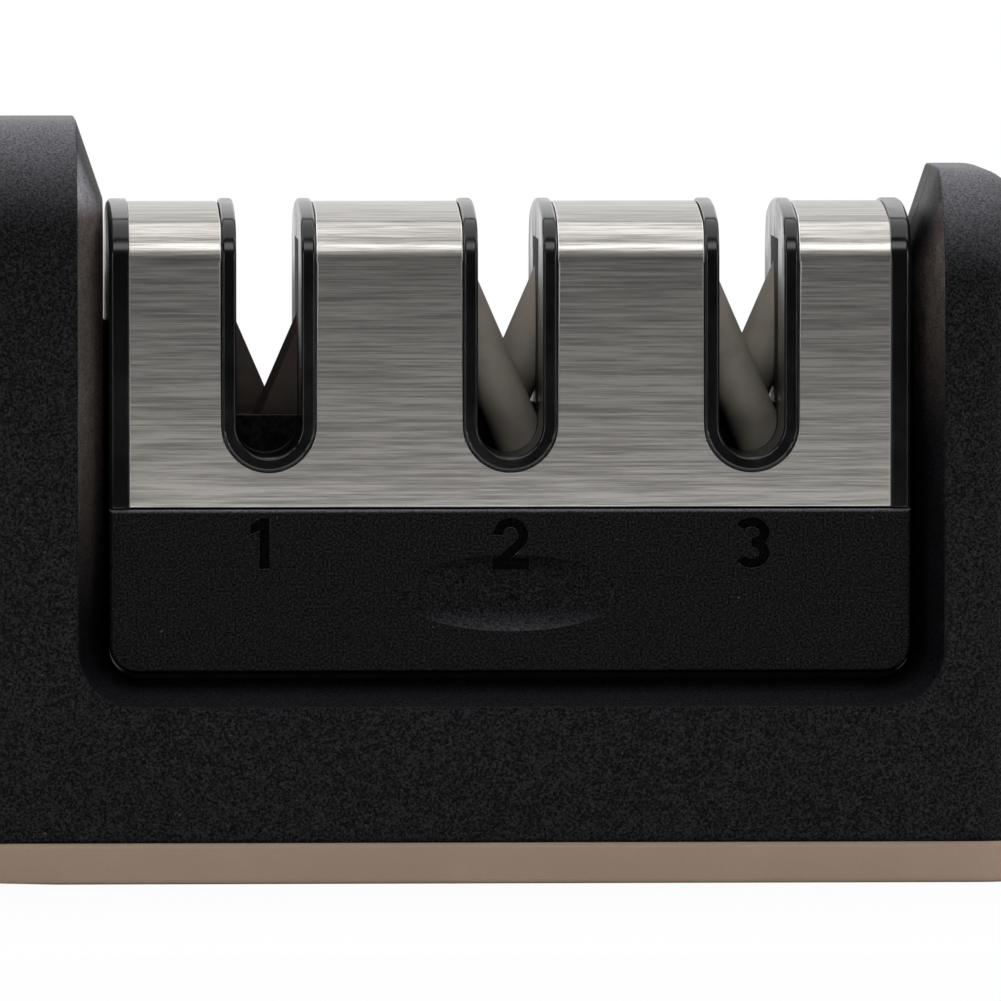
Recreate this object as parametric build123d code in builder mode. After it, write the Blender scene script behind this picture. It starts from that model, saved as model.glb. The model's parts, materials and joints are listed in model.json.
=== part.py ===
import os
from math import asin, atan2, cos, degrees, radians, sin

from build123d import *

os.makedirs("parts", exist_ok=True)

# Three-stage pull-through knife sharpener: a two-part body with a loop grip and an end
# block, a rubber-edged base, and a cartridge with three knife slots in the saddle between
# grip and block. +X runs from the grip to the end block, the front faces -Y, and the
# origin lies on the table under the middle of the body.

# Body
body_length = 200.0
body_depth = 42.0
grip_height = 76.2
block_height = 71.3
block_width = 10.9
crown_radius = 13.0
end_radius = 4.8
wall = 2.2
rib_thickness = 1.6

# Grip loop
bar_thickness = 24.0
end_post_width = 16.0
neck_width = 16.7
sill_height = 20.0
finger_corner_radius = 7.5
finger_side = 0.7
finger_edge_radius = 6.5

# Saddle
saddle_floor = 20.3
saddle_gap = 0.5
saddle_corner_radius = 3.2
facet_width = 2.7
facet_depth = 7.9
saddle_wall = 4.4
rail_width = 4.0
rail_reach = 1.3
rail_drop = 6.3
rail_clearance = 0.25

# Base
pad_height = 4.1
pad_proud = 0.6
pad_floor = 3.4
pad_edge_radius = 0.55
pad_rim = 1.6
plate_clearance = 0.1
deck_rise = 2.6
deck_clearance = 0.2
underside_arch_length = 70.0
underside_arch_rise = 0.5
underside_arch_setback = 4.7

# Cartridge
cartridge_depth = 35.2
rim_width = 2.0
steel_end_margin = 1.9
steel_side_height = 24.6
steel_thickness = 0.6
steel_sunk = 0.3
arch_rise = 5.6
arch_corner_radius = 4.2
cap_lap = 1.5
cap_edge_radius = 0.6
panel_rise = 0.6
panel_height = 16.4
panel_thickness = 1.8
panel_gap = 0.2
panel_corner_radius = 2.8
panel_edge_radius = 0.45
peg_radius = 1.2
peg_length = 2.6
peg_clearance = 0.03
fit_gap = 0.02
core_wall = 1.5
core_post_wall = 1.3
core_rim_wall = 2.4
core_screw_rise = 9.1
core_screw_drop = 6.1

# Knife slots
slot_width = 6.5
slot_rim = 1.45
slot_foot = 3.55
slot_clearance = 0.1
rim_edge_radius = 0.35

# Holders, blades and rods
holder_side_cover = 0.73
holder_face_cover = 1.3
holder_clearance = 0.05
pocket_floor = 3.7
pocket_roof = 3.7
web_thickness = 2.6
web_rise = 4.9
honing_angle = 23.5
crossing_gap = 0.2
rod_diameter = 5.0
rod_clearance = 0.02
rod_end_radius = 0.3
rod_top_cover = 0.83
rod_lower_length = 15.5
notch_rise_stage2 = 7.85
notch_rise_stage3 = 8.25
notch_rise_blades = 3.25
blade_thickness = 1.6
blade_width = 4.8
blade_upper_length = 9.5
blade_lower_length = 7.5
blade_land = 0.3
blade_clearance = 0.03
blade_seat_rise = 3.7
blade_seat_depth = 6.4

# Numerals and oval on the front panel
digit_height = 5.1
digit_width = 3.5
digit_stroke = 0.95
digit_depth = 0.3
digit_drop = 3.4
flag_drop = 0.9
flag_reach = 1.9
oval_width = 22.4
oval_height = 7.8
oval_depth = 0.8
oval_drop = 8.4

# Turn of the numeral 2's bow below the level, in degrees
bow_turn = 48

# Fasteners
screw_shank_radius = 1.2
screw_pilot_radius = 1.25
screw_passage_radius = 1.45
screw_head_radius = 2.3
screw_head_height = 1.5
screw_head_clearance = 0.2
screw_recess_span = 2.6
screw_recess_width = 0.6
screw_recess_depth = 0.7
screw_length = 12.0
base_screw_length = 9.0
boss_radius = 3.1
boss_skin = 1.9
boss_foot_gap = 0.1

# Reach of every cutting tool past the surface that it opens
overrun = 2.0

# Derived heights of the cartridge
panel_bottom = saddle_floor + panel_rise
panel_top = panel_bottom + panel_height
panel_middle = (panel_bottom + panel_top) / 2
steel_bottom = panel_top + panel_gap
slot_radius = slot_width / 2
rim_radius = slot_radius + slot_rim
slot_centre_height = steel_bottom + slot_foot + rim_radius
slot_bottom = slot_centre_height - slot_radius
arch_spring = steel_bottom + steel_side_height
crest = arch_spring + arch_rise
holder_bottom = saddle_floor + pocket_floor
holder_top = crest - pocket_roof
notch_height_stage2 = slot_centre_height + notch_rise_stage2
notch_height_stage3 = slot_centre_height + notch_rise_stage3
notch_height_blades = slot_centre_height + notch_rise_blades
core_screw_low = panel_bottom + core_screw_rise
core_screw_high = arch_spring - core_screw_drop
digit_middle = panel_top - digit_drop
oval_middle = panel_top - oval_drop

# Derived sizes of the rods, blades and holders
tilt = radians(honing_angle)
rod_radius = rod_diameter / 2
rod_y = rod_radius + crossing_gap / 2
rod_upper_length = (holder_top - rod_top_cover - notch_height_stage3) / cos(tilt)
rod_reach = 2 * rod_radius * cos(tilt) + rod_upper_length * sin(tilt)
blade_reach = blade_width * cos(tilt) + blade_upper_length * sin(tilt)
holder_width = 2 * (max(rod_reach, blade_reach) + holder_side_cover)
holder_depth = 2 * (rod_y + rod_radius + holder_face_cover)
pocket_half_width = holder_width / 2 + holder_clearance
pocket_half_depth = holder_depth / 2 + holder_clearance

# Derived widths of the cartridge, from the three pockets outwards
slot_pitch = 2 * (pocket_half_width + screw_passage_radius + core_post_wall)
steel_width = 3 * slot_pitch + 2 * steel_end_margin
cartridge_width = steel_width + 2 * rim_width
core_recess_width = slot_pitch - 2 * (rim_radius + core_rim_wall)

# Derived sizes of the body
half_length = body_length / 2
half_depth = body_depth / 2
body_top = max(grip_height, block_height)
saddle_right = half_length - block_width
cartridge_right = saddle_right - saddle_gap
cartridge_middle = cartridge_right - cartridge_width / 2
cartridge_left = cartridge_right - cartridge_width
saddle_left = cartridge_left - saddle_gap
rail_top = arch_spring - rail_drop
loop_radius = grip_height - sill_height - finger_corner_radius - finger_side
finger_right = saddle_left - neck_width
finger_left = -half_length + end_post_width
finger_top = grip_height - bar_thickness
boss_ceiling = saddle_floor - saddle_wall
deck_top = pad_height + deck_rise
rib_foot = deck_top + boss_foot_gap
well_radius = screw_head_radius + screw_head_clearance
shell_boss_radius = well_radius + boss_skin
shell_seat_y = screw_length / 3
plate_inset = pad_rim + plate_clearance
deck_inset = wall + deck_clearance
base_seat_height = pad_floor + screw_head_height + boss_foot_gap
underside_arch_half = underside_arch_length / 2
underside_arch_middle = saddle_left - underside_arch_setback - underside_arch_half
underside_arch_radius = ((underside_arch_half ** 2 + underside_arch_rise ** 2)
                         / (2 * underside_arch_rise))

# Derived places and curves of the cartridge
rim_half = cartridge_depth / 2
steel_half = rim_half - steel_sunk
core_sunk = steel_thickness + fit_gap
panel_back = rim_half - panel_thickness
steel_left = cartridge_left + rim_width
steel_right = cartridge_right - rim_width
core_left = steel_left + cap_lap
core_right = steel_right - cap_lap
arch_centre_y = steel_half - arch_corner_radius
crown_drop = arch_rise - arch_corner_radius
crown_bend = (arch_centre_y ** 2 + crown_drop ** 2) / (2 * crown_drop) + arch_corner_radius
crown_angle = degrees(asin(arch_centre_y / (crown_bend - arch_corner_radius)))
slot_places = [cartridge_middle + k * slot_pitch for k in (-1, 0, 1)]
post_places = [cartridge_middle + k * slot_pitch / 2 for k in (-1, 1)]
core_seat_y = pocket_half_depth + core_wall
cap_peg_y = (pocket_half_depth + panel_back) / 2
oval_radius_x = oval_width ** 2 / (8 * oval_depth)
oval_radius_z = oval_height ** 2 / (8 * oval_depth)

# Screws through the rear shell, in elevation: the two ends of the loop, its neck, and two
# under the saddle
loop_middle = loop_radius - bar_thickness / 2
shell_screw_places = [
    (-half_length + end_post_width / 2, sill_height - boss_radius),
    (-half_length + loop_radius - loop_middle * cos(radians(45)),
     grip_height - loop_radius + loop_middle * sin(radians(45))),
    (finger_right + neck_width / 2 - boss_radius, grip_height - bar_thickness / 2),
    (saddle_left + neck_width / 2, (rib_foot + boss_ceiling) / 2),
    (saddle_right - neck_width / 2, (rib_foot + boss_ceiling) / 2),
]

# Screws up through the base, in plan
base_screw_places = [
    (x, y)
    for x in (finger_left + boss_radius, saddle_left, cartridge_middle, saddle_right)
    for y in (-half_depth / 2, half_depth / 2)
]

# Screws that close the core, in elevation
core_screw_places = [(x, z) for x in post_places for z in (core_screw_low, core_screw_high)]


def grip_mass(inset, foot):
    """Loop grip and its sill, shrunk all round by inset, standing on the height foot."""
    left = -half_length + inset
    top = grip_height - inset
    radius = loop_radius - inset
    with BuildPart() as grip:
        with BuildSketch(Plane.XZ):
            with BuildLine():
                Line((cartridge_middle, foot), (left, foot))
                Line((left, foot), (left, top - radius))
                CenterArc((left + radius, top - radius), radius, 180, -90)
                Line((left + radius, top), (cartridge_middle, top))
                Line((cartridge_middle, top), (cartridge_middle, foot))
            make_face()
        extrude(amount=half_depth - inset, both=True)
        front = grip.faces().sort_by(Axis.Y)
        rims = ShapeList(front[0].edges() + front[-1].edges())
        rims = rims.sort_by(Axis.Z)[2:].sort_by(Axis.X)[:-2]
        fillet(rims, crown_radius - inset)
        with BuildSketch(Plane.XZ):
            with BuildLine():
                draw_finger_outline(inset)
            make_face()
        extrude(amount=half_depth, both=True, mode=Mode.SUBTRACT)
        fillet(finger_rims(grip), finger_edge_radius - inset)
    return grip.part


def draw_finger_outline(inset):
    """Edge of the finger opening, grown by inset: its upper left corner follows the loop."""
    left = finger_left - inset
    right = finger_right + inset
    low = sill_height - inset
    high = finger_top + inset
    big = loop_radius - bar_thickness + inset
    small = finger_corner_radius + inset
    Line((left, low + small), (left, high - big))
    CenterArc((left + big, high - big), big, 180, -90)
    Line((left + big, high), (right - small, high))
    CenterArc((right - small, high - small), small, 90, -90)
    Line((right, high - small), (right, low + small))
    CenterArc((right - small, low + small), small, 0, -90)
    Line((right - small, low), (left + small, low))
    CenterArc((left + small, low + small), small, -90, -90)


def finger_rims(grip):
    """Edges round the finger opening on the front and rear faces of a grip."""
    sides = grip.faces().filter_by(Plane.XZ).sort_by(Axis.Y)
    return ShapeList(sides[0].inner_wires()[0].edges() + sides[-1].inner_wires()[0].edges())


def block_mass(inset, foot):
    """End block with its crowned top, shrunk all round by inset."""
    with BuildPart() as block:
        with BuildSketch(Plane.YZ.offset(cartridge_middle)) as section:
            with Locations((0, (block_height - inset + foot) / 2)):
                Rectangle(2 * (half_depth - inset), block_height - inset - foot)
            fillet(section.vertices().sort_by(Axis.Y)[-2:], crown_radius - inset)
        extrude(amount=half_length - inset - cartridge_middle)
        end = block.faces().sort_by(Axis.X)[-1]
        fillet(end.edges().sort_by(Axis.Z)[1:], end_radius - inset)
    return block.part


def saddle_void(grow, ceiling):
    """U-shaped opening between grip and block, grown by grow on its walls and floor."""
    with BuildPart() as void:
        with BuildSketch(Plane.XZ) as outline:
            with Locations((cartridge_middle, (saddle_floor - grow + ceiling) / 2)):
                Rectangle(saddle_right - saddle_left + 2 * grow, ceiling - saddle_floor + grow)
            fillet(outline.vertices().sort_by(Axis.Y)[:2], saddle_corner_radius + grow)
        extrude(amount=half_depth + overrun, both=True)
    return void.part


def draw_rib(x, low, high):
    """Section of an upright stiffening rib at x, between two heights."""
    with Locations((x, (low + high) / 2)):
        Rectangle(rib_thickness, high - low)


def body_cavity():
    """Space inside the two shells, less the bosses and the stiffening ribs."""
    foot = pad_height - overrun
    with BuildPart() as cavity:
        add(grip_mass(wall, foot))
        add(block_mass(wall, foot))
        add(saddle_void(saddle_wall, body_top + overrun), mode=Mode.SUBTRACT)
        with BuildSketch(Plane.XZ):
            with Locations(*shell_screw_places):
                Circle(shell_boss_radius)
            for x in post_places:
                draw_rib(x, rib_foot, saddle_floor)
            draw_rib(finger_left + loop_radius, finger_top, grip_height)
            draw_rib(finger_right - neck_width, rib_foot, sill_height)
            draw_rib(finger_left + neck_width, rib_foot, sill_height)
        extrude(amount=half_depth, both=True, mode=Mode.SUBTRACT)
        with BuildSketch(Plane.XY.offset(rib_foot)):
            for x, y in base_screw_places:
                side = 1 if y > 0 else -1
                with Locations((x, y)):
                    Circle(boss_radius)
                with Locations((x, (y + side * half_depth) / 2)):
                    Rectangle(2 * rib_thickness, half_depth - abs(y))
        extrude(amount=boss_ceiling - deck_top, mode=Mode.SUBTRACT)
    return cavity.part


def body_solid():
    """Both shells as one: outer form, faceted saddle, rails, hollow inside and screw holes."""
    with BuildPart() as body:
        add(grip_mass(0, pad_height))
        add(block_mass(0, pad_height))
        add(saddle_void(0, body_top + overrun), mode=Mode.SUBTRACT)
        face = body.faces().filter_by(Plane.XZ).sort_by(Axis.Y)[0]
        floor_edge = face.edges().filter_by(Axis.X).filter_by_position(
            Axis.Z, saddle_floor - wall, saddle_floor + wall).sort_by(Axis.X)[-1]
        chamfer(floor_edge, length=facet_width, length2=facet_depth, reference=face)
        add(body_cavity(), mode=Mode.SUBTRACT)
        with BuildSketch(Plane.XZ):
            for x in (saddle_left, saddle_right):
                with Locations((x, (saddle_floor + rail_top) / 2)):
                    Rectangle(2 * rail_reach, rail_top - saddle_floor)
        extrude(amount=rail_width / 2, both=True)
        with BuildSketch(Plane.XZ.offset(-half_depth)):
            with Locations(*shell_screw_places):
                Circle(well_radius)
        extrude(amount=half_depth - shell_seat_y, mode=Mode.SUBTRACT)
        with BuildSketch(Plane.XZ.offset(-shell_seat_y)):
            with Locations(*shell_screw_places):
                Circle(screw_passage_radius)
        extrude(amount=shell_seat_y, mode=Mode.SUBTRACT)
        with BuildSketch(Plane.XZ):
            with Locations(*shell_screw_places):
                Circle(screw_pilot_radius)
        extrude(amount=screw_length - shell_seat_y + boss_foot_gap, mode=Mode.SUBTRACT)
        with BuildSketch(Plane.XY.offset(deck_top)):
            with Locations(*base_screw_places):
                Circle(screw_pilot_radius)
        extrude(amount=base_seat_height + base_screw_length + boss_foot_gap - deck_top,
                mode=Mode.SUBTRACT)
    return body.part


def plan_prism(grow, low, high):
    """Footprint of the body grown by grow, raised from low to high."""
    with BuildPart() as prism:
        with BuildSketch(Plane.XY.offset(low)) as plan:
            Rectangle(2 * (half_length + grow), 2 * (half_depth + grow))
            fillet(plan.vertices().sort_by(Axis.X)[:2], crown_radius + grow)
            fillet(plan.vertices().sort_by(Axis.X)[-2:], end_radius + grow)
        extrude(amount=high - low)
    return prism.part


def screw_blank(length):
    """Pan-head screw with a cross recess: its seat at the origin and its shank down -Z."""
    with BuildPart() as screw:
        with BuildSketch(Plane.XY):
            Circle(screw_head_radius)
        extrude(amount=screw_head_height)
        fillet(screw.edges().sort_by(Axis.Z)[-1], screw_head_height / 2)
        with BuildSketch(Plane.XY):
            Circle(screw_shank_radius)
        extrude(amount=-length)
        chamfer(screw.edges().sort_by(Axis.Z)[0], screw_shank_radius / 3)
        with BuildSketch(Plane.XY.offset(screw_head_height - screw_recess_depth)):
            Rectangle(screw_recess_span, screw_recess_width)
            Rectangle(screw_recess_width, screw_recess_span)
        extrude(amount=screw_head_height, mode=Mode.SUBTRACT)
    return screw.part


def arch_prism(grow, foot, start, end):
    """Length of the cartridge's arched section, grown by grow on the steel's outer surface."""
    side = steel_half + grow
    corner = arch_corner_radius + grow
    with BuildPart() as prism:
        with BuildSketch(Plane.YZ.offset(start)):
            with BuildLine():
                Line((side, foot), (-side, foot))
                Line((-side, foot), (-side, arch_spring))
                CenterArc((-arch_centre_y, arch_spring), corner, 180, crown_angle - 90)
                CenterArc((0, crest - crown_bend), crown_bend + grow, 90 + crown_angle,
                          -2 * crown_angle)
                CenterArc((arch_centre_y, arch_spring), corner, 90 - crown_angle, crown_angle - 90)
                Line((side, arch_spring), (side, foot))
            make_face()
        extrude(amount=end - start)
    return prism.part


def draw_slot(x, radius):
    """Outline of a knife slot: a round bottom below straight sides that run out at the top."""
    with Locations((x, slot_centre_height)):
        Circle(radius)
    with Locations((x, (slot_centre_height + crest + overrun) / 2)):
        Rectangle(2 * radius, crest + overrun - slot_centre_height)


def end_cap():
    """Left end cap: proud rim, lap under the steel, waist between the panels, rail groove, pegs."""
    with BuildPart() as cap:
        add(arch_prism(steel_sunk, steel_bottom, cartridge_left, steel_left))
        rim_edges = cap.faces().sort_by(Axis.X)[0].edges().sort_by(Axis.Z)[1:]
        fillet(rim_edges, cap_edge_radius)
        add(arch_prism(-core_sunk, steel_bottom, steel_left, core_left))
        with BuildSketch(Plane.XZ) as waist:
            with Locations(((cartridge_left + core_left) / 2, (saddle_floor + steel_bottom) / 2)):
                Rectangle(core_left - cartridge_left, steel_bottom - saddle_floor)
            fillet(waist.vertices().sort_by(Axis.Y)[:2].sort_by(Axis.X)[0], saddle_corner_radius)
        extrude(amount=panel_back, both=True)
        with BuildSketch(Plane.XZ):
            with Locations((saddle_left, (saddle_floor + rail_top) / 2)):
                Rectangle(2 * (rail_reach + rail_clearance),
                          rail_top - saddle_floor + 2 * rail_clearance)
        extrude(amount=rail_width / 2 + rail_clearance, both=True, mode=Mode.SUBTRACT)
        with BuildSketch(Plane.YZ.offset(core_left)):
            with Locations(*cap_peg_places()):
                Circle(peg_radius)
        extrude(amount=peg_length)
    return cap.part


def cap_peg_places():
    """Pegs between an end cap and the core, in the plane across the cartridge."""
    return [(y, z) for y in (-cap_peg_y, cap_peg_y) for z in (core_screw_low, core_screw_high)]


def slot_collar(x):
    """Raised rim round one knife slot, following the arch, with eased edges."""
    reach = rim_radius + overrun
    with BuildPart() as collar:
        with BuildSketch(Plane.XZ):
            draw_slot(x, rim_radius)
        extrude(amount=half_depth, both=True)
        add(arch_prism(steel_sunk, slot_centre_height - reach, x - reach, x + reach),
            mode=Mode.INTERSECT)
        with BuildSketch(Plane.XZ):
            draw_slot(x, slot_radius)
        extrude(amount=half_depth, both=True, mode=Mode.SUBTRACT)
        outer_edges = collar.edges().filter_by(Axis.X, reverse=True).filter_by(Axis.Y, reverse=True)
        fillet(outer_edges, rim_edge_radius)
    return collar.part


def core_solid():
    """Both core halves as one: arched block with three slots, collars, pockets and recesses."""
    foot_middle = (saddle_floor + steel_bottom) / 2
    with BuildPart() as core:
        add(arch_prism(-core_sunk, steel_bottom, core_left, core_right))
        with BuildSketch(Plane.XZ):
            with Locations((cartridge_middle, foot_middle)):
                Rectangle(core_right - core_left, steel_bottom - saddle_floor)
        extrude(amount=panel_back, both=True)
        with BuildSketch(Plane.XZ):
            for x in slot_places:
                draw_slot(x, slot_radius)
        extrude(amount=half_depth, both=True, mode=Mode.SUBTRACT)
        for x in slot_places:
            add(slot_collar(x))
        with BuildSketch(Plane.XZ):
            for x in slot_places:
                with Locations((x, (holder_bottom + holder_top) / 2)):
                    Rectangle(2 * pocket_half_width,
                              holder_top - holder_bottom + 2 * holder_clearance)
        extrude(amount=pocket_half_depth, both=True, mode=Mode.SUBTRACT)
        for front in (-1, 1):
            with BuildSketch(Plane.XZ.offset(front * core_seat_y)):
                for x in post_places:
                    draw_recess(x, panel_bottom + core_wall, panel_top - core_wall)
                    draw_recess(x, steel_bottom + core_wall, arch_spring - core_wall)
            extrude(amount=front * half_depth, mode=Mode.SUBTRACT)
            with BuildSketch(Plane.XZ.offset(front * panel_back)):
                with Locations(*panel_peg_places()):
                    Circle(peg_radius + peg_clearance)
            extrude(amount=-front * (peg_length + peg_clearance), mode=Mode.SUBTRACT)
        for end, inward in ((core_left, 1), (core_right, -1)):
            with BuildSketch(Plane.YZ.offset(end)):
                with Locations(*cap_peg_places()):
                    Circle(peg_radius + peg_clearance)
            extrude(amount=inward * (peg_length + peg_clearance), mode=Mode.SUBTRACT)
        with BuildSketch(Plane.XZ.offset(-core_seat_y)):
            with Locations(*core_screw_places):
                Circle(screw_passage_radius)
        extrude(amount=core_seat_y, mode=Mode.SUBTRACT)
        with BuildSketch(Plane.XZ):
            with Locations(*core_screw_places):
                Circle(screw_pilot_radius)
        extrude(amount=screw_length - core_seat_y + boss_foot_gap, mode=Mode.SUBTRACT)
    return core.part


def draw_recess(x, low, high):
    """Outline of a recess that thins the core between two slots."""
    with Locations((x, (low + high) / 2)):
        Rectangle(core_recess_width, high - low)


def panel_peg_places():
    """Pegs behind a panel, one under each slot, in elevation."""
    return [(x, panel_middle) for x in slot_places]


def lower_panel():
    """Cover plate below the steel, with round lower corners, an eased face and pegs behind."""
    with BuildPart() as panel:
        with BuildSketch(Plane.XZ.offset(panel_back)) as outline:
            with Locations((cartridge_middle, panel_middle)):
                Rectangle(cartridge_width, panel_top - panel_bottom)
            fillet(outline.vertices().sort_by(Axis.Y)[:2], panel_corner_radius)
        extrude(amount=panel_thickness)
        fillet(panel.faces().sort_by(Axis.Y)[0].edges(), panel_edge_radius)
        with BuildSketch(Plane.XZ.offset(panel_back)):
            with Locations(*panel_peg_places()):
                Circle(peg_radius)
        extrude(amount=-peg_length)
    return panel.part


def draw_bar(start, end):
    """Straight stroke of a numeral between two points on its centre line."""
    run = Vector(*end) - Vector(*start)
    middle = (Vector(*end) + Vector(*start)) / 2
    with Locations((middle.X, middle.Y)):
        Rectangle(run.length, digit_stroke, rotation=degrees(atan2(run.Y, run.X)))


def draw_bow(centre, reach, rise, start, sweep):
    """Round stroke of a numeral: part of an ellipse with the half axes reach and rise."""
    half = digit_stroke / 2
    with BuildSketch() as stroke:
        with BuildLine():
            outer = EllipticalCenterArc(centre, reach + half, rise + half, start_angle=start,
                                        arc_size=sweep)
            inner = EllipticalCenterArc(centre, reach - half, rise - half, start_angle=start,
                                        arc_size=sweep)
            Line(outer @ 0, inner @ 0)
            Line(outer @ 1, inner @ 1)
        make_face()
    add(stroke.sketch)


def draw_digit_one(x):
    """Numeral 1 under the slot at x: a stem and a flag."""
    stem = x - digit_stroke / 2
    top = digit_middle + digit_height / 2
    flag_root = top - digit_stroke / 2
    draw_bar((stem, top - digit_height), (stem, top))
    draw_bar((stem, flag_root), (stem - flag_reach, flag_root - flag_drop))


def draw_digit_two(x):
    """Numeral 2 under the slot at x: a bow, a slant and a foot."""
    reach = (digit_width - digit_stroke) / 2
    foot = digit_middle - (digit_height - digit_stroke) / 2
    bow_middle = foot + digit_height - digit_stroke - reach
    turn = radians(bow_turn)
    draw_bow((x, bow_middle), reach, reach, -bow_turn, 180 + bow_turn)
    draw_bar((x + reach * cos(turn), bow_middle - reach * sin(turn)), (x - reach, foot))
    draw_bar((x - digit_width / 2, foot), (x + digit_width / 2, foot))


def draw_digit_three(x):
    """Numeral 3 under the slot at x: two bows."""
    reach = (digit_width - digit_stroke) / 2
    rise = (digit_height - digit_stroke) / 4
    draw_bow((x, digit_middle + rise), reach, rise, -90, 240)
    draw_bow((x, digit_middle - rise), reach, rise, -150, 240)


def holder(x, bridge_depth, bridge_rise, tools):
    """Upright insert in a pocket of the core: a slotted block, bridged low down and cut by tools."""
    with BuildPart() as block:
        with BuildSketch(Plane.XZ):
            with Locations((x, (holder_bottom + holder_top) / 2)):
                Rectangle(holder_width, holder_top - holder_bottom)
        extrude(amount=holder_depth / 2, both=True)
        with BuildSketch(Plane.XZ):
            draw_slot(x, slot_radius)
        extrude(amount=holder_depth, both=True, mode=Mode.SUBTRACT)
        with BuildSketch(Plane.XZ):
            with Locations((x, slot_bottom + bridge_rise / 2)):
                Rectangle(slot_width, bridge_rise)
        extrude(amount=bridge_depth / 2, both=True)
        for tool in tools:
            add(tool, mode=Mode.SUBTRACT)
    return block.part


def rod_bar(x, notch, side, grow, extra):
    """Rod or its bore: side 1 leans left and lies in front, side -1 right and behind."""
    lean = Vector(-side * sin(tilt), 0, cos(tilt))
    closest = Vector(x - side * rod_radius * cos(tilt), -side * rod_y, notch - rod_radius * sin(tilt))
    lower_end = closest - lean * (rod_lower_length + grow)
    with BuildPart(Plane(origin=lower_end, z_dir=lean)) as bar:
        Cylinder(rod_radius + grow, rod_lower_length + rod_upper_length + grow + extra,
                 align=(Align.CENTER, Align.CENTER, Align.MIN))
    return bar.part


def blade_bar(x, side, grow, extra):
    """Blade or its slot: side 1 leans right and lies in front, side -1 left and behind."""
    up = Vector(side * sin(tilt), 0, cos(tilt))
    across = Vector(side * cos(tilt), 0, -sin(tilt))
    inner = -crossing_gap / 2 + grow
    outer = -crossing_gap / 2 - blade_thickness - grow
    bevel = (blade_thickness - blade_land) / 2
    low = Vector(x, 0, notch_height_blades) - up * (blade_lower_length + grow)
    with BuildPart() as bar:
        with BuildSketch(Plane(origin=low, x_dir=across, z_dir=up)):
            Polygon((-grow, inner), (-grow, outer + blade_thickness - blade_land),
                    (bevel - grow, outer), (blade_width + grow, outer), (blade_width + grow, inner),
                    align=None)
        extrude(amount=blade_lower_length + blade_upper_length + grow + extra)
    return bar.part


body = body_solid()

with BuildPart() as front_shell:
    add(body)
    split(bisect_by=Plane.XZ, keep=Keep.TOP)
front_shell.part.label = "front_shell"
export_step(front_shell.part, "parts/front_shell.step")

with BuildPart() as rear_shell:
    add(body)
    split(bisect_by=Plane.XZ, keep=Keep.BOTTOM)
rear_shell.part.label = "rear_shell"
export_step(rear_shell.part, "parts/rear_shell.step")

with BuildPart() as base_plate:
    add(plan_prism(-plate_inset, pad_floor, pad_height))
    add(plan_prism(-deck_inset, pad_height, deck_top))
    with BuildSketch(Plane.XY.offset(pad_floor)):
        with Locations(*base_screw_places):
            Circle(well_radius)
    extrude(amount=base_seat_height - pad_floor, mode=Mode.SUBTRACT)
    with BuildSketch(Plane.XY.offset(pad_floor)):
        with Locations(*base_screw_places):
            Circle(screw_passage_radius)
    extrude(amount=deck_top, mode=Mode.SUBTRACT)
base_plate.part.label = "base_plate"
export_step(base_plate.part, "parts/base_plate.step")

with BuildPart() as base_pad:
    add(plan_prism(pad_proud, 0, pad_height))
    pad_faces = base_pad.faces().sort_by(Axis.Z)
    fillet(ShapeList(pad_faces[0].edges() + pad_faces[-1].edges()), pad_edge_radius)
    add(plan_prism(-pad_rim, pad_floor, pad_height + overrun), mode=Mode.SUBTRACT)
    with BuildSketch(Plane.XZ):
        with Locations((underside_arch_middle, underside_arch_rise - underside_arch_radius)):
            Circle(underside_arch_radius)
    extrude(amount=body_depth, both=True, mode=Mode.SUBTRACT)
base_pad.part.label = "base_pad"
export_step(base_pad.part, "parts/base_pad.step")

with BuildPart() as shell_screws:
    with Locations(*[Location((x, shell_seat_y, z), (-90, 0, 0)) for x, z in shell_screw_places]):
        add(screw_blank(screw_length))
shell_screws.part.label = "shell_screws"
export_step(shell_screws.part, "parts/shell_screws.step")

with BuildPart() as base_screws:
    with Locations(*[Location((x, y, base_seat_height), (180, 0, 0)) for x, y in base_screw_places]):
        add(screw_blank(base_screw_length))
base_screws.part.label = "base_screws"
export_step(base_screws.part, "parts/base_screws.step")

with BuildPart() as left_end_cap:
    add(end_cap())
left_end_cap.part.label = "left_end_cap"
export_step(left_end_cap.part, "parts/left_end_cap.step")

with BuildPart() as right_end_cap:
    mirror(end_cap(), about=Plane.YZ.offset(cartridge_middle), mode=Mode.ADD)
right_end_cap.part.label = "right_end_cap"
export_step(right_end_cap.part, "parts/right_end_cap.step")

core = core_solid()

with BuildPart() as core_front:
    add(core)
    split(bisect_by=Plane.XZ, keep=Keep.TOP)
core_front.part.label = "core_front"
export_step(core_front.part, "parts/core_front.step")

with BuildPart() as core_rear:
    add(core)
    split(bisect_by=Plane.XZ, keep=Keep.BOTTOM)
core_rear.part.label = "core_rear"
export_step(core_rear.part, "parts/core_rear.step")

with BuildPart() as cartridge_screws:
    with Locations(*[Location((x, core_seat_y, z), (-90, 0, 0)) for x, z in core_screw_places]):
        add(screw_blank(screw_length))
cartridge_screws.part.label = "cartridge_screws"
export_step(cartridge_screws.part, "parts/cartridge_screws.step")

with BuildPart() as steel_cover:
    add(arch_prism(0, steel_bottom, steel_left, steel_right))
    add(arch_prism(-steel_thickness, steel_bottom - overrun, steel_left - overrun,
                   steel_right + overrun), mode=Mode.SUBTRACT)
    with BuildSketch(Plane.XZ):
        for slot_x in slot_places:
            draw_slot(slot_x, rim_radius + slot_clearance)
    extrude(amount=half_depth, both=True, mode=Mode.SUBTRACT)
steel_cover.part.label = "steel_cover"
export_step(steel_cover.part, "parts/steel_cover.step")

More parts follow.
